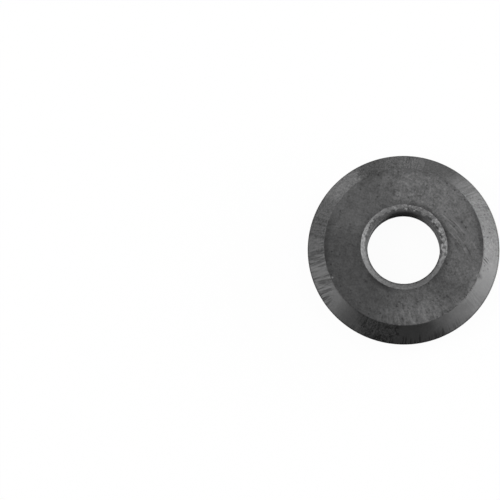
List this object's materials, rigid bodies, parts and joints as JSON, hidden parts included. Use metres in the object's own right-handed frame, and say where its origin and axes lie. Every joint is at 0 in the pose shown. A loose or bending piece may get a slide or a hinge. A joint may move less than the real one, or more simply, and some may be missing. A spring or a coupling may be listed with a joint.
{
  "type": "cutting wheel",
  "caption": "Small one-piece ring with a ground V-shaped rim, flat hub faces and a plain bore chamfered at each end, which scores ceramic tile.",
  "frame": {"origin": "the middle of the bore, on the wheel's axis, in the plane of the cutting edge", "axes": "+Z along the bore's axis, which stands upright because the wheel lies on its lower hub face; X and Y lie in the plane of the cutting edge, and the wheel looks the same whichever way they point"},
  "size_m": [0.016, 0.016, 0.003],
  "materials": {
    "tungsten_carbide": "sintered tungsten carbide: ground bevels, lapped hub faces, as-sintered bore"
  },
  "bodies": {
    "root": {"cutting_wheel": "tungsten_carbide"}
  },
  "joints": []
}
